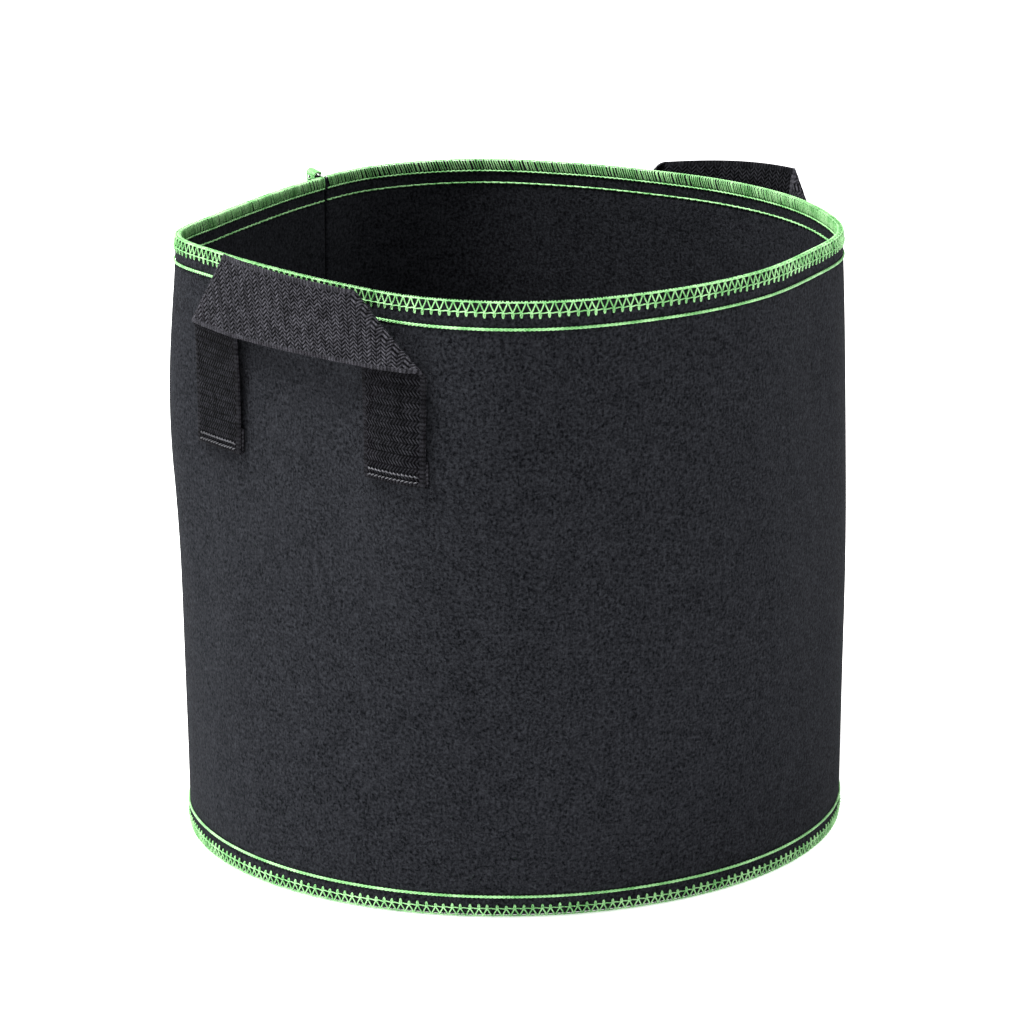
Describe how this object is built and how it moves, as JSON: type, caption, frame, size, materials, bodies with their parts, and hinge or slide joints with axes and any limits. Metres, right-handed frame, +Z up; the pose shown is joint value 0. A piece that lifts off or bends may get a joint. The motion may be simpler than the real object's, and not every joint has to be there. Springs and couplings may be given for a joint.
{
  "type": "fabric grow bag",
  "caption": "Round felt planting bag with an open top, overlocked rim, base and side seams, and a folded webbing carrying handle on each side.",
  "frame": {"origin": "on the floor under the middle of the bag's overall extents", "axes": "+Z up out of the open top, -Y out of the front handle, -X towards the side seam"},
  "size_m": [0.3258, 0.3088, 0.2873],
  "materials": {
    "felt": "matt needle-punched felt, near black",
    "green_thread": "slightly glossy polyester sewing thread, bright green",
    "webbing": "matt woven herringbone webbing, near black",
    "grey_thread": "polyester sewing thread, light grey"
  },
  "bodies": {
    "bag": {"side_wall": "felt", "base_disc": "felt", "rim_overlock_thread": "green_thread", "rim_chain_looper_thread": "green_thread", "rim_chain_needle_thread": "green_thread", "base_overlock_thread": "green_thread", "base_chain_looper_thread": "green_thread", "base_chain_needle_thread": "green_thread", "side_seam_overlock_thread": "green_thread", "side_seam_chain_looper_thread": "green_thread", "side_seam_chain_needle_thread": "green_thread", "front_left_sewn_end": "webbing", "front_left_stitching": "grey_thread", "front_right_sewn_end": "webbing", "front_right_stitching": "grey_thread", "rear_left_sewn_end": "webbing", "rear_left_stitching": "grey_thread", "rear_right_sewn_end": "webbing", "rear_right_stitching": "grey_thread"},
    "front_handle": {"front_strap": "webbing"},
    "rear_handle": {"rear_strap": "webbing"}
  },
  "joints": [
    {"name": "front_handle_swing", "type": "hinge", "parent": "bag", "child": "front_handle", "pos_m": [0.02589, -0.14555, 0.21025], "axis": [0.9969, -0.0302, 0.0731], "range_deg": [0, 150]},
    {"name": "rear_handle_swing", "type": "hinge", "parent": "bag", "child": "rear_handle", "pos_m": [-0.00591, 0.14081, 0.209], "axis": [-0.9992, -0.0393, 0], "range_deg": [0, 150]}
  ]
}
